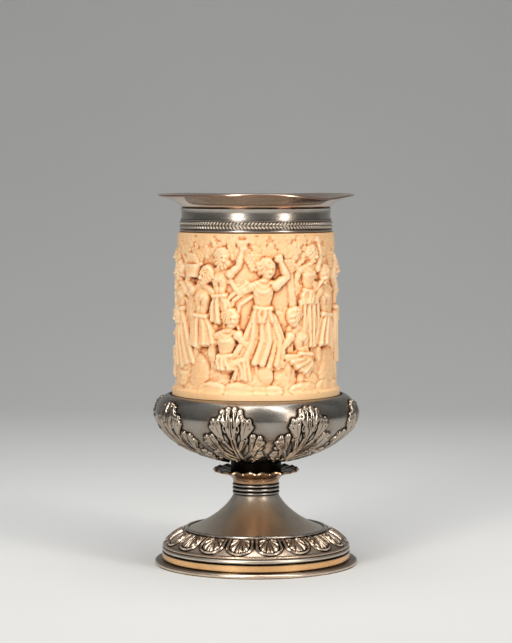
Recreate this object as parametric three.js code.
// A carved ivory drinking cup in silver mounts, on a pedestal foot, with a silver liner that lifts out.
// Millimetres, +Z up. The origin is the centre of the foot's underside, -Y is the front and +X its right.

import * as THREE from "three";

// Foot
const FOOT_RADIUS = 55.4;
const FOOT_RING_HEIGHT = 2.5;
const FOOT_FLANGE_WIDTH = 4;
const FOOT_RIM_WIDTH = 5.5;
const GILT_BAND_HEIGHT = 4.3;
const MOULDING_HEIGHT = 2.6;
const MOULDING_PROUD = 0.2;
const BORDER_HEIGHT = 8.6;
const BORDER_SETBACK = 0.6;
const BORDER_WIDTH = 11.8;
const BORDER_LEDGE_WIDTH = 3.6;
const BORDER_HANDLES = { leaving: [0.2, 0.36], arriving: [0.55, 0.85] };
const PALMETTE_COUNT = 18;
const PALMETTE_PHASE = -11;
const PALMETTE_RELIEF = 0.7;
const DOME_HEIGHT = 19.7;
const DOME_FOOT = 0.8;
const DOME_BEAD_WIRE = 1.7;
const DOME_HANDLES = { leaving: [0.45, 0.2], arriving: [0.86, 0.6] };

// Stem
const STEM_RADIUS = 12.2;
const STEM_SHOULDER = 1.3;
const REED_HEIGHTS = [1.8, 2.1, 1.9];
const REED_PROUD = 0.7;
const CALYX_NECK_STEP = 0.2;
const CALYX_HEIGHT = 6.6;
const CALYX_FLARE = 11.2;
const CALYX_HANDLES = { leaving: [0, 0.56], arriving: [0.37, 0.73] };
const CALYX_LOBES = 20;
const CALYX_LOBE_DEPTH = 0.7;
const CALYX_LOBE_LIFT = 0.4;
const DRUM_STEP = 1.6;
const DRUM_HEIGHT = 8;
const DRUM_WALL = 1.4;

// Bowl mount
const BOWL_FLOOR_MARGIN = 0.8;
const BOWL_BELLY_HEIGHT = 24.8;
const BOWL_HANDLES = { leaving: [0.42, 0.09], arriving: [0.96, 0.5] };
const BOWL_SHOULDER_WIDTH = 9;
const BOWL_SHOULDER_HEIGHT = 11.2;
const LEAF_COUNT = 8;
const LEAF_PHASE = -14;
const LEAF_START = 3.4;
const LEAF_TOP_MARGIN = 2.2;
const LEAF_HALF_WIDTH = 16.2;
const LEAF_TIERS = [
  { length: 0.54, width: 0.8 },
  { length: 0.21, width: 1 },
  { length: 0.13, width: 0.74 },
  { length: 0.12, width: 0.47 },
];
const LEAF_NOTCH = 0.64;
const LEAF_LOBE_LEAN = 1.3;
const LEAF_TIP_BLUNT = 0.05;
const LEAF_RIB_THICKNESS = 1.7;
const LEAF_EDGE_THICKNESS = 0.8;
const LEAF_GAP = 0.5;

// Ivory sleeve and the seat that carries it
const SLEEVE_HEIGHT = 91.8;
const SLEEVE_SUNK = 3.8;
const SLEEVE_TAPER = 3.1;
const SLEEVE_PLINTH_HEIGHT = 9;
const SLEEVE_EDGE_HEIGHT = 1.2;
const NECK_HEIGHT = 5;
const NECK_WALL = 2.4;
const NECK_REBATE = 3.2;
const FRIEZE_GROUND_DEPTH = 0.7;
const FRIEZE_GROUND_RUN = 2.6;
const FRIEZE_HEADS = 8;
const FRIEZE_PRESSED = 0.6;
const FRIEZE_SUNK = 0.4;
const SEAT_THICKNESS = 1.2;
const BEZEL_WALL = 1;
const BEZEL_HEIGHT = 5;

// Rim mount
const COLLAR_WALL = 0.8;
const COLLAR_HEIGHT = 12.8;
const COLLAR_LEDGE_WIDTH = 2;
const COLLAR_FLARE = 0.7;
const COLLAR_FLARE_HEIGHT = 2.1;
const COLLAR_BEAD_WIRE = 1.8;
const BRAID_WIRE = 2;
const FILLET_WIRE = 1;

// Liner
const LINER_RADIUS = 35.4;
const LINER_WALL = 0.9;
const LINER_DROP = 2.1;
const LINER_CORNER = 7;
const THROAT_HANDLES = { leaving: [0, 0.5], arriving: [0.6, 0.7] };
const LIP_OVERHANG = 12.2;
const LIP_RISE = 6.8;
const LIP_HANDLES = { leaving: [0.15, 0.48], arriving: [0.47, 0.69] };
const LIP_DIP = 1.7;
const LIP_DIP_AZIMUTH = 44;
const LIP_DIP_SPREAD = 17;
const LIP_RIPPLE = 0.3;
const LIP_RIPPLE_COUNT = 3;

// Tie bolt that holds the bowl to the foot
const BOLT_RADIUS = 3;
const BOLT_HEAD_STEP = 3;
const BOLT_HEAD_HEIGHT = 3.2;
const BOLT_END_LENGTH = 2;
const WASHER_MARGIN = 1.7;
const WASHER_THICKNESS = 1.2;
const NUT_WALL = 1.7;
const NUT_HEIGHT = 5;

// Sheet, fits and mesh steps
const SHEET = 1.2;
const SEAM = 0.1;
const FIT = 0.3;
const SEGMENTS = 36;
const STEM_SEGMENTS = 24;
const SEGMENTS_PER_LOBE = 3;
const SEGMENTS_PER_PALMETTE = 4;
const LONG_CURVE_STEPS = 8;
const CURVE_STEPS = 6;
const LIP_STEPS = 5;
const WIRE_STEPS = 4;
const CORNER_STEPS = 3;
const SLEEVE_SEGMENTS = 96;
const FRIEZE_ROWS = 30;
const LEAF_ROWS = 19;
const LEAF_COLUMNS = [-1, -0.5, 0, 0.5, 1];
const NUT_HOLE_SEGMENTS = 12;

const radians = THREE.MathUtils.degToRad;
const lerp = THREE.MathUtils.lerp;
const clamp = THREE.MathUtils.clamp;
const at = (radius, height) => new THREE.Vector2(radius, height);
const last = (list) => list[list.length - 1];

// A curve between two points of radius and height. Its handles are shares of the way across and up.
function curve(start, end, handles, steps) {
  const handle = ([across, up]) => at(lerp(start.x, end.x, across), lerp(start.y, end.y, up));
  const bezier = new THREE.CubicBezierCurve(start, handle(handles.leaving), handle(handles.arriving), end);
  return bezier.getPoints(steps);
}

// Points of an elliptical arc, with its angles in degrees from the outward direction
function arc(centre, radius, height, from, to, steps) {
  const ellipse = new THREE.EllipseCurve(
    centre.x, centre.y, radius, height, radians(from), radians(to), to < from,
  );
  return ellipse.getPoints(steps);
}

// The same line moved to the left of its direction, which is inwards on a line that climbs
function movedLine(line, distance) {
  return line.map((here, i) => {
    const before = here.clone().sub(line[Math.max(i - 1, 0)]).normalize();
    const after = line[Math.min(i + 1, line.length - 1)].clone().sub(here).normalize();
    const along = before.clone().add(after).normalize();
    const bend = i > 0 && i < line.length - 1 ? Math.sqrt((1 + before.dot(after)) / 2) : 1;
    return at(here.x - (along.y * distance) / bend, here.y + (along.x * distance) / bend);
  });
}

// The value that a line has where another of its coordinates reaches a level
function crossing(line, known, level, wanted) {
  const i = line.findIndex((p, k) => k > 0 && (line[k - 1][known] - level) * (p[known] - level) <= 0);
  const [a, b] = [line[i - 1], line[i]];
  const share = (level - a[known]) / (b[known] - a[known] || 1);
  return lerp(a[wanted], b[wanted], share);
}

// The length along a line up to where one of its coordinates reaches a level
function lengthTo(line, known, level) {
  let length = 0;
  for (let i = 1; i < line.length; i++) {
    const span = line[i].distanceTo(line[i - 1]);
    const share = (level - line[i - 1][known]) / (line[i][known] - line[i - 1][known] || 1);
    if (line[i][known] >= level) return length + span * share;
    length += span;
  }
  return length;
}

const radiusAt = (line, height) => crossing(line, "y", height, "x");
const heightAt = (line, radius) => crossing(line, "x", radius, "y");

// Every other point of a line, with both ends, for walls that don't show
const thinned = (line) => line.filter((_, i) => i % 2 === 0 || i === line.length - 1);

// A closed section of sheet metal, from its outer line
const sheetSection = (outer, wall) => [...outer, ...movedLine(outer, wall).reverse()];

// A half-round wire's section around a tube of the given radius, standing on height 0
function wireSection(tubeRadius, height, proud) {
  const outside = arc(at(tubeRadius, height / 2), proud, height / 2, -90, 90, WIRE_STEPS);
  return [at(tubeRadius, 0), ...outside.slice(1, -1), at(tubeRadius, height)];
}

// A section turned about the Z axis. The change, if given, returns a moved point for each azimuth.
function turned(section, segments = SEGMENTS, change = null) {
  const onAxis = section[0].x === 0;
  const profile = onAxis ? section : [...section, section[0].clone()];
  const geometry = new THREE.LatheGeometry(profile, segments);
  if (change) {
    const position = geometry.getAttribute("position");
    for (let i = 0; i < position.count; i++) {
      const index = (i % profile.length) % section.length;
      const azimuth = (Math.floor(i / profile.length) % segments) * ((2 * Math.PI) / segments);
      const moved = change(section[index], azimuth, index);
      position.setXYZ(i, moved.x * Math.sin(azimuth), moved.y, moved.x * Math.cos(azimuth));
    }
  }
  return geometry.rotateX(Math.PI / 2);
}

// A closed strip from rows of points on its face and on its back. Rows climb, and points run to the right.
function closedStrip(face, back) {
  const rows = face.length;
  const columns = face[0].length;
  const vertices = [...face.flat(), ...back.flat()].flatMap((p) => [p.x, p.y, p.z]);
  const front = (i, j) => i * columns + j;
  const rear = (i, j) => rows * columns + i * columns + j;
  const index = [];
  const quad = (a, b, c, d) => index.push(a, b, c, a, c, d);
  for (let i = 0; i < rows - 1; i++) {
    for (let j = 0; j < columns - 1; j++) {
      quad(front(i, j), front(i, j + 1), front(i + 1, j + 1), front(i + 1, j));
      quad(rear(i, j), rear(i + 1, j), rear(i + 1, j + 1), rear(i, j + 1));
    }
    const right = columns - 1;
    quad(front(i, 0), front(i + 1, 0), rear(i + 1, 0), rear(i, 0));
    quad(front(i + 1, right), front(i, right), rear(i, right), rear(i + 1, right));
  }
  for (let j = 0; j < columns - 1; j++) {
    const top = rows - 1;
    quad(front(0, j + 1), front(0, j), rear(0, j), rear(0, j + 1));
    quad(front(top, j), front(top, j + 1), rear(top, j + 1), rear(top, j));
  }
  const geometry = new THREE.BufferGeometry();
  geometry.setAttribute("position", new THREE.Float32BufferAttribute(vertices, 3));
  geometry.setIndex(index);
  return geometry;
}

// Materials
const metal = (color, roughness) => new THREE.MeshStandardMaterial({ color, roughness, metalness: 1 });
const silver = metal(0xb9b3a8, 0.24);
const castSilver = metal(0x9c9284, 0.36);
const gilt = metal(0xc48a4e, 0.34);
const linerSilver = metal(0xc2b39c, 0.22);
const steel = metal(0x8a8780, 0.42);
const ivory = new THREE.MeshStandardMaterial({ color: 0xe8bd86, roughness: 0.46, metalness: 0 });

const cup = new THREE.Group();

// A group of pieces standing at a height
function level(height) {
  const group = new THREE.Group();
  group.position.z = height;
  cup.add(group);
  return group;
}

function place(group, name, geometry, material, height = 0) {
  const mesh = new THREE.Mesh(geometry, material);
  mesh.name = name;
  mesh.position.z = height;
  group.add(mesh);
  return mesh;
}

// Heights of the stack, from the table up
const giltBandBase = FOOT_RING_HEIGHT + SEAM;
const mouldingBase = giltBandBase + GILT_BAND_HEIGHT + SEAM;
const borderBase = mouldingBase + MOULDING_HEIGHT + SEAM;
const domeBase = borderBase + BORDER_HEIGHT + SEAM;
const reedBase = domeBase + DOME_HEIGHT + SEAM;
const reedStack = REED_HEIGHTS.reduce((sum, height) => sum + height + SEAM, 0);
const calyxBase = reedBase + reedStack + SEAM;

// Radii of the upper part, from the liner out
const bezelInside = LINER_RADIUS + FIT;
const bezelOutside = bezelInside + BEZEL_WALL;
const boreRadius = bezelOutside + FIT;
const neckRadius = boreRadius + NECK_WALL;
const sleeveTopRadius = neckRadius + NECK_REBATE;
const sleeveBaseRadius = sleeveTopRadius + SLEEVE_TAPER;
const mouthRadius = sleeveBaseRadius + FIT;
const bowlRadius = mouthRadius + BOWL_SHOULDER_WIDTH;
const collarInside = neckRadius + FIT;
const collarOutside = collarInside + COLLAR_WALL;
const collarTopRadius = collarOutside + COLLAR_FLARE;
const hangRadius = collarTopRadius - COLLAR_WALL - FIT;
const lipRadius = collarTopRadius + LIP_OVERHANG;

// Radii of the stem, and of the bolt that runs through it
const boltHole = BOLT_RADIUS + FIT;
const stemTubeRadius = STEM_RADIUS - STEM_SHOULDER;
const stemTubeInside = stemTubeRadius - SHEET;
const calyxNeckRadius = STEM_RADIUS + CALYX_NECK_STEP;
const calyxRadius = calyxNeckRadius + CALYX_FLARE;
const drumRadius = STEM_RADIUS + DRUM_STEP;
const bowlFloorRadius = drumRadius + BOWL_FLOOR_MARGIN;

// Foot ring, gilt band and moulding
const rimRadius = FOOT_RADIUS - FOOT_FLANGE_WIDTH;
const rimInside = rimRadius - FOOT_RIM_WIDTH;

function footRingSection() {
  const edge = FOOT_RING_HEIGHT / 3;
  return [
    at(rimInside, 0),
    at(FOOT_RADIUS - edge, 0),
    at(FOOT_RADIUS, edge),
    at(FOOT_RADIUS, 2 * edge),
    at(FOOT_RADIUS - edge, FOOT_RING_HEIGHT),
    at(rimInside, FOOT_RING_HEIGHT),
  ];
}

function giltBandSection() {
  return [
    at(rimInside, 0),
    at(rimRadius, 0),
    at(rimRadius, GILT_BAND_HEIGHT),
    at(rimInside, GILT_BAND_HEIGHT),
  ];
}

function mouldingSection() {
  const round = MOULDING_HEIGHT / 2;
  return [
    at(rimInside, 0),
    ...arc(at(rimRadius + MOULDING_PROUD - round, round), round, round, -90, 90, CORNER_STEPS),
    at(rimInside, MOULDING_HEIGHT),
  ];
}

const foot = level(0);
place(foot, "foot_ring", turned(footRingSection()), silver);
place(foot, "gilt_band", turned(giltBandSection()), gilt, giltBandBase);
place(foot, "foot_moulding", turned(mouldingSection()), silver, mouldingBase);

// Palmette border: an ovolo of sheet with a ledge at its top for the dome, embossed with palmettes
const borderFootRadius = rimRadius - BORDER_SETBACK;
const borderTopRadius = borderFootRadius - BORDER_WIDTH;
const ledgeInside = borderTopRadius - BORDER_LEDGE_WIDTH;

function borderLine() {
  const upright = SHEET / 2;
  const start = at(borderFootRadius, upright);
  const end = at(borderTopRadius, BORDER_HEIGHT);
  const ovolo = curve(start, end, BORDER_HANDLES, CURVE_STEPS);
  return [at(borderFootRadius, 0), ...ovolo, at(ledgeInside, BORDER_HEIGHT)];
}

function borderGeometry() {
  const outer = borderLine();
  const inner = thinned(movedLine(outer, SHEET)).reverse();
  const section = [...outer, ...inner];
  const pitch = (2 * Math.PI) / PALMETTE_COUNT;
  const faceSteps = outer.length - 3;
  const emboss = (point, azimuth, index) => {
    const step = index - 1;
    if (step <= 0 || step >= faceSteps) return point;
    const across = Math.cos(((azimuth - radians(PALMETTE_PHASE)) * 2 * Math.PI) / pitch);
    const along = Math.sin((Math.PI * step) / faceSteps);
    const lift = (PALMETTE_RELIEF * along * (1 + across)) / 2;
    return at(point.x + lift * Math.SQRT1_2, point.y + lift * Math.SQRT1_2);
  };
  return turned(section, PALMETTE_COUNT * SEGMENTS_PER_PALMETTE, emboss);
}

place(foot, "palmette_border", borderGeometry(), castSilver, borderBase);

// Dome: a trumpet of sheet with a tube at its top, closed by a plate that the tie bolt pulls on
const domeFootRadius = borderTopRadius - DOME_BEAD_WIRE - SEAM;
const stemTubeTop = DOME_HEIGHT + reedStack + SEAM;

function domeLine() {
  const start = at(domeFootRadius, DOME_FOOT);
  const end = at(STEM_RADIUS, DOME_HEIGHT);
  return [at(domeFootRadius, 0), ...curve(start, end, DOME_HANDLES, LONG_CURVE_STEPS)];
}

function domeSection() {
  const outer = domeLine();
  const inner = thinned(movedLine(outer, SHEET).slice(0, -1)).reverse();
  return [
    ...outer,
    at(stemTubeRadius, DOME_HEIGHT),
    at(stemTubeRadius, stemTubeTop),
    at(boltHole, stemTubeTop),
    at(boltHole, stemTubeTop - SHEET),
    at(stemTubeInside, stemTubeTop - SHEET),
    at(stemTubeInside, DOME_HEIGHT - SHEET),
    ...inner,
  ];
}

const beadSection = wireSection(domeFootRadius + SEAM, DOME_BEAD_WIRE, DOME_BEAD_WIRE);
place(foot, "foot_dome", turned(domeSection()), silver, domeBase);
place(foot, "dome_bead", turned(beadSection), silver, domeBase);

// Reeds: half-round wires stacked around the stem tube
const stem = level(reedBase);
const reedTube = stemTubeRadius + SEAM;
const reedProud = STEM_RADIUS + REED_PROUD - reedTube;
let reedHeight = 0;
REED_HEIGHTS.forEach((height, i) => {
  const name = ["lower_reed", "middle_reed", "upper_reed"][i] ?? `reed_${i + 1}`;
  place(stem, name, turned(wireSection(reedTube, height, reedProud), STEM_SEGMENTS), silver, reedHeight);
  reedHeight += height + SEAM;
});

// Calyx: a flared cup with a lobed rim, and a floor inside it where the drum stands
const calyxNeck = at(calyxNeckRadius, 0);
const calyxRim = at(calyxRadius, CALYX_HEIGHT);
const calyxOuter = curve(calyxNeck, calyxRim, CALYX_HANDLES, CURVE_STEPS);
const calyxInner = movedLine(calyxOuter, SHEET);
const drumPocket = drumRadius + FIT;
const calyxFloor = heightAt(calyxInner, drumPocket);

function calyxGeometry() {
  const flare = calyxInner.filter((p) => p.x > drumPocket).reverse();
  const neckInside = calyxNeckRadius - SHEET;
  const section = [
    ...calyxOuter,
    ...flare,
    at(drumPocket, calyxFloor),
    at(boltHole, calyxFloor),
    at(boltHole, calyxFloor - SHEET),
    at(neckInside, calyxFloor - SHEET),
    at(neckInside, 0),
  ];
  const lobed = (point, azimuth) => {
    const reach = Math.max(0, (point.x - drumPocket) / (calyxRadius - drumPocket));
    const wave = Math.cos(azimuth * CALYX_LOBES);
    const out = (CALYX_LOBE_DEPTH * (wave - 1) * reach * reach) / 2;
    return at(point.x + out, point.y - CALYX_LOBE_LIFT * wave * reach * reach);
  };
  return turned(section, CALYX_LOBES * SEGMENTS_PER_LOBE, lobed);
}

const calyx = level(calyxBase);
const drumBase = calyxFloor + SEAM;
const drumSection = [
  at(drumRadius - DRUM_WALL, 0),
  at(drumRadius, 0),
  at(drumRadius, DRUM_HEIGHT),
  at(drumRadius - DRUM_WALL, DRUM_HEIGHT),
];
place(calyx, "calyx", calyxGeometry(), gilt);
place(calyx, "stem_drum", turned(drumSection, STEM_SEGMENTS), silver, drumBase);

// Bowl: a squat bulb of sheet with a turned-in shoulder round the sleeve
const bowlBase = calyxBase + drumBase + DRUM_HEIGHT + SEAM;
const bowlHeight = BOWL_BELLY_HEIGHT + BOWL_SHOULDER_HEIGHT;

function bowlLine() {
  const floorEdge = at(bowlFloorRadius, 0);
  const widest = at(bowlRadius, BOWL_BELLY_HEIGHT);
  const belly = curve(floorEdge, widest, BOWL_HANDLES, LONG_CURVE_STEPS);
  const centre = at(mouthRadius, BOWL_BELLY_HEIGHT);
  const shoulder = arc(centre, BOWL_SHOULDER_WIDTH, BOWL_SHOULDER_HEIGHT, 0, 90, LIP_STEPS);
  return [at(boltHole, 0), ...belly, ...shoulder.slice(1)];
}

const bowlOuter = bowlLine();
const [bowlFloor, ...bowlWall] = movedLine(bowlOuter, SHEET);
const mouthEdge = at(mouthRadius, bowlHeight - SHEET);
const bowlInner = [bowlFloor, ...thinned(bowlWall).slice(0, -1), mouthEdge];
const bowl = level(bowlBase);
place(bowl, "bowl", turned([...bowlOuter, ...bowlInner.toReversed()]), silver);

// Acanthus leaves: lobed strips that follow the bowl's outside
const leafTop = bowlHeight - LEAF_TOP_MARGIN;
const leafFirstRadius = bowlFloorRadius + LEAF_START;
const leafLine = bowlOuter.slice(0, bowlOuter.findIndex((p) => p.y > leafTop) + 1);
const leafPath = new THREE.CurvePath();
leafLine.slice(1).forEach((p, i) => leafPath.add(new THREE.LineCurve(leafLine[i], p)));

// Half of a leaf's width at a share of its length, widening and narrowing in tiers
function leafHalfWidth(share) {
  let start = 0;
  for (const tier of LEAF_TIERS) {
    const u = (share - start) / tier.length;
    const widest = tier.width * LEAF_HALF_WIDTH;
    start += tier.length;
    if (share > start && tier !== last(LEAF_TIERS)) continue;
    if (tier === last(LEAF_TIERS)) return widest * Math.sqrt(Math.max(1 - u * u, LEAF_TIP_BLUNT));
    return widest * lerp(LEAF_NOTCH, 1, Math.sin(Math.PI * Math.min(u, 1) ** LEAF_LOBE_LEAN));
  }
  return 0;
}

function leafGeometry() {
  const total = leafPath.getLength();
  const first = lengthTo(leafLine, "x", leafFirstRadius) / total;
  const end = lengthTo(leafLine, "y", leafTop) / total;
  const row = (i, lift) => {
    const share = i / (LEAF_ROWS - 1);
    const u = lerp(first, end, share);
    const p = leafPath.getPoint(u);
    const along = leafPath.getTangent(u);
    const outward = at(along.y, -along.x);
    return LEAF_COLUMNS.map((side) => {
      const room = (Math.PI * p.x) / LEAF_COUNT - LEAF_GAP;
      const angle = (side * Math.min(leafHalfWidth(share), room)) / p.x;
      const height = lift(side);
      const radius = p.x + outward.x * height;
      const up = p.y + outward.y * height;
      return new THREE.Vector3(radius * Math.sin(angle), -radius * Math.cos(angle), up);
    });
  };
  const thickness = (side) => lerp(LEAF_RIB_THICKNESS, LEAF_EDGE_THICKNESS, side * side);
  const steps = [...Array(LEAF_ROWS).keys()];
  const face = steps.map((i) => row(i, (side) => LEAF_GAP + thickness(side)));
  const back = steps.map((i) => row(i, () => LEAF_GAP));
  return closedStrip(face, back);
}

for (let i = 0; i < LEAF_COUNT; i++) {
  const leaf = place(bowl, `acanthus_leaf_${i + 1}`, leafGeometry(), castSilver);
  leaf.rotation.z = radians(LEAF_PHASE) + (i * 2 * Math.PI) / LEAF_COUNT;
}

// Seat: a plate across the bowl's shoulder that carries the sleeve, with a bezel inside the sleeve's bore
const sleeveBase = bowlHeight - SLEEVE_SUNK;
const seatBase = sleeveBase - SEAM - SEAT_THICKNESS;

function seatSection() {
  const wall = bowlInner.slice(bowlInner.findIndex((p) => p.y > BOWL_BELLY_HEIGHT) - 1);
  const plateRadius = radiusAt(wall, seatBase + SEAT_THICKNESS) - FIT;
  return [
    at(bezelInside, 0),
    at(plateRadius, 0),
    at(plateRadius, SEAT_THICKNESS),
    at(bezelOutside, SEAT_THICKNESS),
    at(bezelOutside, SEAT_THICKNESS + BEZEL_HEIGHT),
    at(bezelInside, SEAT_THICKNESS + BEZEL_HEIGHT),
  ];
}

place(bowl, "sleeve_seat", turned(seatSection()), silver, seatBase);

// Frieze: draped dancers and pickers among vines. A figure's joints are in heads, from the ground between
// its feet, and a pose changes some of a plain stance's joints.
const STANCE = {
  pelvis: [0, 3], waist: [0.02, 3.65], neck: [0.08, 5], head: [0.14, 5.62],
  leftShoulder: [-0.62, 4.68], leftElbow: [-0.98, 3.85], leftHand: [-0.62, 3.15],
  rightShoulder: [0.72, 4.68], rightElbow: [1.08, 3.85], rightHand: [1.28, 3.05],
  leftHip: [-0.26, 2.95], leftKnee: [-0.42, 1.6], leftAnkle: [-0.42, 0.28], leftToe: [-0.78, 0.08],
  rightHip: [0.28, 2.95], rightKnee: [0.46, 1.62], rightAnkle: [0.5, 0.28], rightToe: [0.88, 0.1],
};
const POSES = {
  dancer: {
    pelvis: [0, 3.05], waist: [0.12, 3.65], neck: [-0.02, 5], head: [-0.16, 5.6],
    leftShoulder: [-0.64, 4.72], leftElbow: [-1.16, 5.2], leftHand: [-0.9, 6],
    rightShoulder: [0.7, 4.62], rightElbow: [1.3, 4.3], rightHand: [1.75, 4.85],
    leftKnee: [-0.75, 1.75], leftAnkle: [-0.5, 0.5], leftToe: [-0.85, 0.18],
    rightKnee: [0.6, 1.7], rightAnkle: [1.15, 0.62], rightToe: [1.5, 0.4],
  },
  carrier: {
    neck: [-0.1, 5], head: [-0.28, 5.55],
    leftShoulder: [-0.66, 4.6], leftElbow: [-1.02, 3.75], leftHand: [-0.5, 3.3],
    rightShoulder: [0.66, 4.75], rightElbow: [1.12, 5.25], rightHand: [0.78, 5.95],
    leftKnee: [-0.62, 1.66], leftAnkle: [-0.85, 0.32], leftToe: [-1.24, 0.12],
    rightKnee: [0.5, 1.6], rightAnkle: [0.72, 0.34], rightToe: [0.45, 0.08],
  },
  reveller: {
    waist: [-0.04, 3.65], neck: [-0.05, 5], head: [0.12, 5.6],
    leftShoulder: [-0.72, 4.6], leftElbow: [-1.12, 3.9], leftHand: [-1.5, 3.4],
    rightShoulder: [0.62, 4.76], rightElbow: [1.18, 5.2], rightHand: [1.32, 6.05],
    leftKnee: [-0.4, 1.6], leftAnkle: [-0.62, 0.28], leftToe: [-1, 0.1],
    rightKnee: [0.62, 1.7], rightAnkle: [0.5, 0.36], rightToe: [0.86, 0.12],
  },
  piper: {
    neck: [0.04, 5], head: [0.2, 5.56],
    leftShoulder: [-0.62, 4.66], leftElbow: [-0.5, 3.9], leftHand: [0.62, 4.52],
    rightShoulder: [0.68, 4.66], rightElbow: [1.2, 4.05], rightHand: [1.05, 4.82],
    leftKnee: [-0.3, 1.6], leftAnkle: [-0.72, 0.36], leftToe: [-0.4, 0.1],
    rightKnee: [0.66, 1.68], rightAnkle: [0.62, 0.3], rightToe: [1, 0.1],
  },
  picker: {
    waist: [0, 3.7], neck: [-0.12, 5.1], head: [-0.22, 5.74],
    leftShoulder: [-0.68, 4.86], leftElbow: [-1, 5.55], leftHand: [-0.72, 6.35],
    rightShoulder: [0.6, 4.8], rightElbow: [0.98, 4.1], rightHand: [0.5, 3.62],
    leftKnee: [-0.35, 1.6], leftAnkle: [-0.35, 0.42], leftToe: [-0.7, 0.12],
  },
  pourer: {
    waist: [0.1, 3.6], neck: [0.34, 4.9], head: [0.52, 5.48],
    leftShoulder: [-0.46, 4.66], leftElbow: [-0.3, 3.75], leftHand: [0.62, 3.72],
    rightShoulder: [0.88, 4.5], rightElbow: [1.35, 3.92], rightHand: [1.3, 3.15],
    leftKnee: [-0.55, 1.65], leftAnkle: [-0.85, 0.3], leftToe: [-0.5, 0.1],
    rightKnee: [0.62, 1.7], rightAnkle: [0.55, 0.3], rightToe: [0.95, 0.1],
  },
  seated: {
    pelvis: [-0.3, 1.15], waist: [-0.26, 1.75], neck: [-0.1, 3.1], head: [0.04, 3.7],
    leftShoulder: [-0.86, 2.72], leftElbow: [-1.25, 1.95], leftHand: [-1, 1.2],
    rightShoulder: [0.45, 2.76], rightElbow: [0.95, 2.25], rightHand: [1.5, 2.65],
    leftHip: [-0.45, 1.1], leftKnee: [0.62, 1.25], leftAnkle: [0.55, 0.2], leftToe: [0.95, 0.06],
    rightHip: [-0.1, 1.1], rightKnee: [1.02, 1.5], rightAnkle: [1.2, 0.3], rightToe: [1.6, 0.1],
  },
  kneeling: {
    pelvis: [-0.2, 1.35], waist: [-0.05, 1.95], neck: [0.36, 3.18], head: [0.56, 3.72],
    leftShoulder: [-0.45, 2.95], leftElbow: [-0.2, 2.1], leftHand: [0.72, 1.75],
    rightShoulder: [0.8, 2.75], rightElbow: [1.28, 2.1], rightHand: [1.35, 1.45],
    leftHip: [-0.4, 1.3], leftKnee: [0.1, 0.3], leftAnkle: [-1, 0.22], leftToe: [-1.35, 0.1],
    rightHip: [0.05, 1.3], rightKnee: [0.98, 1.35], rightAnkle: [0.85, 0.25], rightToe: [1.25, 0.08],
  },
  reclining: {
    pelvis: [-0.1, 0.75], waist: [-0.62, 1.05], neck: [-1.45, 2.05], head: [-1.5, 2.66],
    leftShoulder: [-1.75, 1.6], leftElbow: [-1.85, 0.75], leftHand: [-1.2, 0.42],
    rightShoulder: [-0.72, 1.85], rightElbow: [-0.25, 1.5], rightHand: [0.3, 1.95],
    leftHip: [0, 0.6], leftKnee: [1.15, 0.62], leftAnkle: [2.2, 0.3], leftToe: [2.55, 0.42],
    rightHip: [0.05, 0.85], rightKnee: [1, 1.5], rightAnkle: [1.5, 0.42], rightToe: [1.9, 0.2],
  },
};
const SIDE_JOINTS = ["Shoulder", "Elbow", "Hand", "Hip", "Knee", "Ankle", "Toe"];
const FLYING_CLOAK = [[1.6, 3.9], [1.9, 2.6], [1.5, 1.4]];
const HANGING_CLOAK = [[1.1, 3.7], [1.4, 2.4], [1.2, 1]];

// Half-widths of a figure, and how far its layers stand off the frieze's ground, in heads
const GIRTH = {
  neck: 0.2, head: 0.42, shoulder: 0.24, elbow: 0.17, hand: 0.14, ribs: 0.52, waist: 0.36, pelvis: 0.46,
  hip: 0.36, knee: 0.23, ankle: 0.14, toe: 0.11, skirt: 0.43, apron: 0.5, cloak: 0.42,
};
const LAYER = {
  cloak: 0, leg: 0.02, trunk: 0.06, shoulder: 0.08, arm: 0.12, head: 0.16, skirt: 0.2, apron: 0.24,
};
const KILT_LENGTH = 0.85;
const RIBS_DROP = 0.3;

// Three rows of figures, from the back to the front: azimuths in degrees, the rest in heads
const CAST = [
  {
    depth: 0,
    size: 0.9,
    figures: [
      { pose: "reveller", azimuth: -27, ground: 2, facing: 1 },
      { pose: "picker", azimuth: 42, ground: 2.1, facing: -1, gown: true },
      { pose: "picker", azimuth: 116, ground: 2.1, facing: 1, gown: true },
      { pose: "reveller", azimuth: -94, ground: 2, facing: -1 },
      { pose: "reveller", azimuth: -154, ground: 1.9, facing: 1 },
    ],
  },
  {
    depth: 0.05,
    size: 1,
    figures: [
      { pose: "dancer", azimuth: -72, ground: 0.5, facing: 1, gown: true, cloak: FLYING_CLOAK },
      { pose: "carrier", azimuth: -43, ground: 0.4, facing: -1, cloak: HANGING_CLOAK },
      { pose: "dancer", azimuth: 6, ground: 0.7, facing: -1, gown: true, cloak: FLYING_CLOAK },
      { pose: "piper", azimuth: 61, ground: 0.4, facing: -1, cloak: HANGING_CLOAK },
      { pose: "dancer", azimuth: 91, ground: 0.6, facing: 1, gown: true, cloak: FLYING_CLOAK },
      { pose: "carrier", azimuth: 143, ground: 0.5, facing: 1 },
      { pose: "pourer", azimuth: 176, ground: 0.6, facing: 1, gown: true, cloak: HANGING_CLOAK },
      { pose: "piper", azimuth: -135, ground: 0.5, facing: -1, cloak: HANGING_CLOAK },
      { pose: "picker", azimuth: -110, ground: 0.5, facing: 1, gown: true },
    ],
  },
  {
    depth: 0.1,
    size: 0.95,
    figures: [
      { pose: "seated", azimuth: -19, ground: 0.2, facing: 1, gown: true },
      { pose: "kneeling", azimuth: 36, ground: 0.2, facing: -1 },
      { pose: "reclining", azimuth: 116, ground: 0.1, facing: 1 },
      { pose: "seated", azimuth: -162, ground: 0.2, facing: -1, gown: true },
      { pose: "kneeling", azimuth: -91, ground: 0.2, facing: 1, gown: true },
    ],
  },
];

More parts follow.
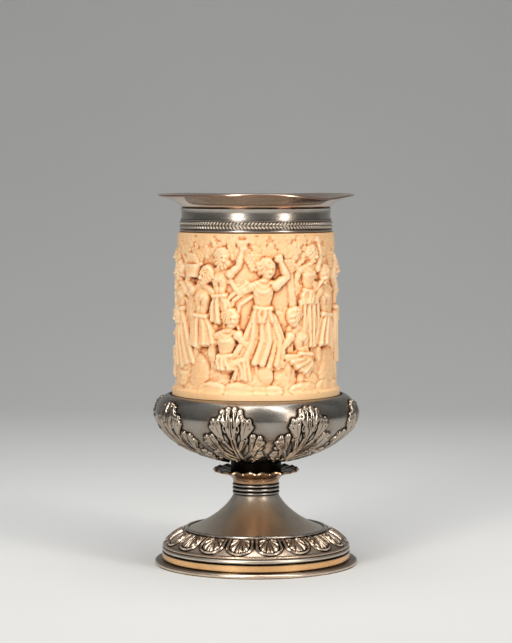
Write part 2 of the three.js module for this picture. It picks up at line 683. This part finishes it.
// Baskets, jars and a tambourine, as rounded blocks: sizes, levels and depths in heads
const GOODS = [
  { azimuth: -53, base: 5.85, top: 6.85, halfWidths: [0.47, 0.62], depth: 0.12 },
  { azimuth: 153, base: 5.85, top: 6.85, halfWidths: [0.47, 0.62], depth: 0.12 },
  { azimuth: -85, base: 6.6, top: 6.7, halfWidths: [0.5, 0.5], depth: 0.05 },
  { azimuth: 80, base: 0.4, top: 1, halfWidths: [0.4, 0.5], depth: 0.14 },
  { azimuth: -64, base: 0.3, top: 0.9, halfWidths: [0.5, 0.6], depth: 0.14 },
  { azimuth: 8, base: 0.4, top: 0.9, halfWidths: [0.35, 0.42], depth: 0.18 },
];
const VINES = [-55, 27, 91, 168, -132];
const VINE_HALF_WIDTHS = [0.26, 0.13];
const VINE_DEPTH = 0.02;
const CANOPY_LEVELS = [6.2, 7.1];
const CANOPY_DEPTH = 0.18;
const ROCKS = [
  { count: 15, halfWidth: 1.08, rise: 1.96, depth: 0.02 },
  { count: 22, halfWidth: 0.78, rise: 0.78, depth: 0.1 },
  { count: 26, halfWidth: 0.64, rise: 0.33, depth: 0.25 },
];
const ROCK_UNEVEN = 0.3;
const ROCK_ROUND = 0.35;
const BODY_ROUND = 0.7;
const CLOTH_ROUND = 0.4;
const CLOAK_ROUND = 0.2;
const STEEP = 3.5;

const friezeHeight = SLEEVE_HEIGHT - SLEEVE_PLINTH_HEIGHT - SLEEVE_EDGE_HEIGHT;
const friezeGround = sleeveTopRadius - FRIEZE_GROUND_DEPTH;
const head = friezeHeight / FRIEZE_HEADS;

// An uneven value from -1 to 1 for the k-th of many things
const scatter = (k, kind) => Math.sin(2.4 * (k + 1) * kind + kind);

// Height of a dome over its edge at a share of its radius, which falls away steeply outside it
const domed = (share, radius, round) =>
  radius * (share < 1 ? round * Math.sqrt(1 - share * share) : STEEP * (1 - share));

// Height of a rounded, tapered limb at a point
function limbHeight({ from, to, halfWidths, depth, round }, p) {
  const along = to.clone().sub(from);
  const share = clamp(p.clone().sub(from).dot(along) / along.lengthSq(), 0, 1);
  const radius = lerp(halfWidths[0], halfWidths[1], share);
  return depth + domed(p.distanceTo(from.clone().lerp(to, share)) / radius, radius, round);
}

// Limbs that join several points, with a half-width at each
function chain(points, halfWidths, depth, round = BODY_ROUND) {
  const limb = (to, i) => ({ from: points[i], to, halfWidths: halfWidths.slice(i, i + 2), depth, round });
  return points.slice(1).map(limb);
}

function figureLimbs({ pose, gown, cloak = [] }) {
  const joints = { ...STANCE, ...POSES[pose] };
  const joint = (name) => at(...joints[name]);
  const middle = (name) => joint("left" + name).lerp(joint("right" + name), 0.5);
  const [neck, waist, pelvis] = ["neck", "waist", "pelvis"].map(joint);
  const ribs = middle("Shoulder").lerp(waist, RIBS_DROP);
  const limbs = [
    ...chain([pelvis, waist, ribs], [GIRTH.pelvis, GIRTH.waist, GIRTH.ribs], LAYER.trunk),
    ...chain([neck, joint("head")], [GIRTH.neck, GIRTH.head], LAYER.head),
  ];
  const skirt = (top, knee, ankle, layer) => {
    const hems = gown ? [knee, ankle] : [top.clone().lerp(knee, KILT_LENGTH)];
    limbs.push(...chain([top, ...hems], Array(3).fill(GIRTH[layer]), LAYER[layer], CLOTH_ROUND));
  };
  for (const side of ["left", "right"]) {
    const [shoulder, elbow, hand, hip, knee, ankle, toe] = SIDE_JOINTS.map((name) => joint(side + name));
    limbs.push(
      ...chain([neck, shoulder], [GIRTH.neck, GIRTH.neck], LAYER.shoulder),
      ...chain([shoulder, elbow, hand], [GIRTH.shoulder, GIRTH.elbow, GIRTH.hand], LAYER.arm),
      ...chain([hip, knee, ankle, toe], [GIRTH.hip, GIRTH.knee, GIRTH.ankle, GIRTH.toe], LAYER.leg),
    );
    skirt(hip, knee, ankle, "skirt");
  }
  skirt(pelvis, middle("Knee"), middle("Ankle"), "apron");
  const drape = [joint("rightShoulder"), ...cloak.map((point) => at(...point))];
  limbs.push(...chain(drape, drape.map(() => GIRTH.cloak), LAYER.cloak, CLOAK_ROUND));
  return limbs;
}

const cast = CAST.flatMap(({ depth, size, figures }) =>
  figures.map((figure) => ({ ...figure, depth, size, limbs: figureLimbs(figure) })),
);

// How far one azimuth in degrees lies to the right of another along the frieze's ground, in heads
function aside(azimuth, other) {
  const turn = THREE.MathUtils.euclideanModulo(azimuth - other + 180, 360) - 180;
  return (radians(turn) * friezeGround) / head;
}

// Height of the k-th rock in a row
function rockHeight({ count, halfWidth, rise, depth }, k, azimuth, up) {
  const place = ((k + ROCK_UNEVEN * scatter(k, 1)) * 360) / count;
  const wide = halfWidth * (1 + ROCK_UNEVEN * scatter(k, 2));
  const tall = rise * (1 + ROCK_UNEVEN * scatter(k, 3));
  const share = Math.hypot(aside(azimuth, place) / wide, up / tall);
  return depth + domed(share, Math.min(wide, tall), ROCK_ROUND);
}

// Height over the frieze's ground in heads, at an azimuth in degrees and a level in heads
function friezeRelief(azimuth, up) {
  const heights = [0, CANOPY_DEPTH * THREE.MathUtils.smoothstep(up, ...CANOPY_LEVELS)];
  const upright = (place, base, top, halfWidths, depth) => {
    const [limb] = chain([at(0, base), at(0, top)], halfWidths, depth);
    heights.push(limbHeight(limb, at(aside(azimuth, place), up)));
  };
  VINES.forEach((place) => upright(place, 0, FRIEZE_HEADS, VINE_HALF_WIDTHS, VINE_DEPTH));
  GOODS.forEach((one) => upright(one.azimuth, one.base, one.top, one.halfWidths, one.depth));
  for (const row of ROCKS) {
    for (let k = 0; k < row.count; k++) heights.push(rockHeight(row, k, azimuth, up));
  }
  for (const { azimuth: place, ground, size, facing, depth, limbs } of cast) {
    const point = at((facing * aside(azimuth, place)) / size, up / size - ground);
    for (const limb of limbs) heights.push(depth + size * limbHeight(limb, point));
  }
  return Math.max(...heights);
}

// Ivory sleeve: a bored length of tusk with a plinth, a carved frieze, and a neck cut back for the collar
const sleeveTop = SLEEVE_HEIGHT + NECK_HEIGHT;

function sleeveGeometry() {
  const rise = friezeHeight / (FRIEZE_ROWS - 1);
  const rows = [...Array(FRIEZE_ROWS).keys()].map((i) => at(friezeGround, SLEEVE_PLINTH_HEIGHT + i * rise));
  const section = [
    at(boreRadius, 0),
    at(sleeveBaseRadius, 0),
    ...rows,
    at(sleeveTopRadius, SLEEVE_HEIGHT),
    at(neckRadius, SLEEVE_HEIGHT),
    at(neckRadius, sleeveTop),
    at(boreRadius, sleeveTop),
  ];
  const firstRow = section.indexOf(rows[0]);
  const carve = (point, azimuth, index) => {
    const row = index - firstRow;
    if (row < 0 || row >= FRIEZE_ROWS) return point;
    const height = row * rise;
    const toPlinth = 1 - THREE.MathUtils.smoothstep(height, 0, FRIEZE_GROUND_RUN);
    const toEdge = THREE.MathUtils.smoothstep(height, friezeHeight - FRIEZE_GROUND_RUN, friezeHeight);
    const relief = FRIEZE_PRESSED * head * friezeRelief(THREE.MathUtils.radToDeg(azimuth), height / head);
    const carved = Math.min(friezeGround - FRIEZE_SUNK + relief, sleeveBaseRadius);
    const plinth = toPlinth > 0 ? lerp(friezeGround, sleeveBaseRadius, toPlinth) : 0;
    const edge = toEdge > 0 ? lerp(friezeGround, sleeveTopRadius, toEdge) : 0;
    return at(Math.max(carved, plinth, edge), point.y);
  };
  return turned(section, SLEEVE_SEGMENTS, carve);
}

const body = level(bowlBase + sleeveBase);
place(body, "ivory_sleeve", sleeveGeometry(), ivory);

// Liner: a beaker with a flared lip that hangs on the collar
const collarBase = SLEEVE_HEIGHT + SEAM;
const collarTop = collarBase + COLLAR_HEIGHT;

function linerLine() {
  const centre = at(LINER_RADIUS - LINER_CORNER, LINER_CORNER - LINER_DROP);
  const corner = arc(centre, LINER_CORNER, LINER_CORNER, -90, 0, CORNER_STEPS);
  const hang = at(hangRadius, collarTop);
  const throat = curve(at(LINER_RADIUS, sleeveTop), hang, THROAT_HANDLES, CORNER_STEPS);
  const flare = curve(hang, at(lipRadius, collarTop + LIP_RISE), LIP_HANDLES, LIP_STEPS);
  return [at(0, -LINER_DROP), ...corner, ...throat, ...flare.slice(1)];
}

// The lip's edge dips at one side and ripples a little all round
function lipWave(point, azimuth) {
  const reach = Math.max(0, (point.x - collarTopRadius) / LIP_OVERHANG);
  const away = Math.acos(Math.cos(azimuth - radians(LIP_DIP_AZIMUTH)));
  const dip = LIP_DIP * Math.exp(-((away / radians(LIP_DIP_SPREAD)) ** 2));
  const ripple = LIP_RIPPLE * Math.cos(azimuth * LIP_RIPPLE_COUNT);
  return at(point.x, point.y + (ripple - dip) * reach * reach);
}

const linerOuter = linerLine();
place(body, "liner", turned(sheetSection(linerOuter, LINER_WALL), SEGMENTS, lipWave), linerSilver);

// Rim collar: a band round the sleeve's neck, with a ledge over its end and wires around its foot
function collarSection() {
  const ledge = sleeveTop + SEAM;
  const ledgeInsideRadius = collarInside - COLLAR_LEDGE_WIDTH;
  const upperInside = collarTopRadius - COLLAR_WALL;
  return [
    at(collarInside, collarBase),
    at(collarOutside, collarBase),
    at(collarOutside, collarTop - COLLAR_FLARE_HEIGHT),
    at(collarTopRadius, collarTop),
    at(upperInside, collarTop),
    at(collarInside, collarTop - COLLAR_FLARE_HEIGHT),
    at(collarInside, ledge + COLLAR_WALL),
    at(ledgeInsideRadius, ledge + COLLAR_WALL),
    at(ledgeInsideRadius, ledge),
    at(collarInside, ledge),
  ];
}

place(body, "rim_collar", turned(collarSection()), silver);

const wireTube = collarOutside + SEAM;
let wireHeight = collarBase;
for (const [name, height, material] of [
  ["collar_bead", COLLAR_BEAD_WIRE, silver],
  ["lower_braid", BRAID_WIRE, castSilver],
  ["upper_braid", BRAID_WIRE, castSilver],
  ["collar_fillet", FILLET_WIRE, silver],
]) {
  place(body, name, turned(wireSection(wireTube, height, height / 2)), material, wireHeight);
  wireHeight += height + SEAM;
}

// Tie bolt through the bowl's floor, the calyx and the stem, with a washer and a nut inside the dome
const boltHeadBase = bowlBase + SHEET + SEAM;
const plateUnderside = domeBase + stemTubeTop - SHEET;
const washerBase = plateUnderside - SEAM - WASHER_THICKNESS;
const nutBase = washerBase - SEAM - NUT_HEIGHT;
const boltEnd = nutBase - BOLT_END_LENGTH;

function boltSection() {
  const head = boltHeadBase - boltEnd;
  const headRadius = BOLT_RADIUS + BOLT_HEAD_STEP;
  return [
    at(0, 0),
    at(BOLT_RADIUS, 0),
    at(BOLT_RADIUS, head),
    at(headRadius, head),
    at(headRadius, head + BOLT_HEAD_HEIGHT),
    at(0, head + BOLT_HEAD_HEIGHT),
  ];
}

function nutGeometry() {
  const corner = (boltHole + NUT_WALL) / Math.cos(Math.PI / 6);
  const hexagon = new THREE.Shape();
  for (let i = 0; i < 6; i++) {
    const angle = (i * Math.PI) / 3;
    const step = i === 0 ? "moveTo" : "lineTo";
    hexagon[step](corner * Math.cos(angle), corner * Math.sin(angle));
  }
  hexagon.closePath();
  const hole = new THREE.Path();
  hole.absarc(0, 0, boltHole, 0, 2 * Math.PI, true);
  hexagon.holes.push(hole);
  return new THREE.ExtrudeGeometry(hexagon, {
    depth: NUT_HEIGHT,
    bevelEnabled: false,
    curveSegments: NUT_HOLE_SEGMENTS,
  });
}

const washerRadius = stemTubeInside - WASHER_MARGIN;
const washerSection = [
  at(boltHole, 0),
  at(washerRadius, 0),
  at(washerRadius, WASHER_THICKNESS),
  at(boltHole, WASHER_THICKNESS),
];
const tie = level(0);
place(tie, "tie_bolt", turned(boltSection(), STEM_SEGMENTS), steel, boltEnd);
place(tie, "tie_washer", turned(washerSection, STEM_SEGMENTS), steel, washerBase);
place(tie, "tie_nut", nutGeometry(), steel, nutBase);

export default cup;
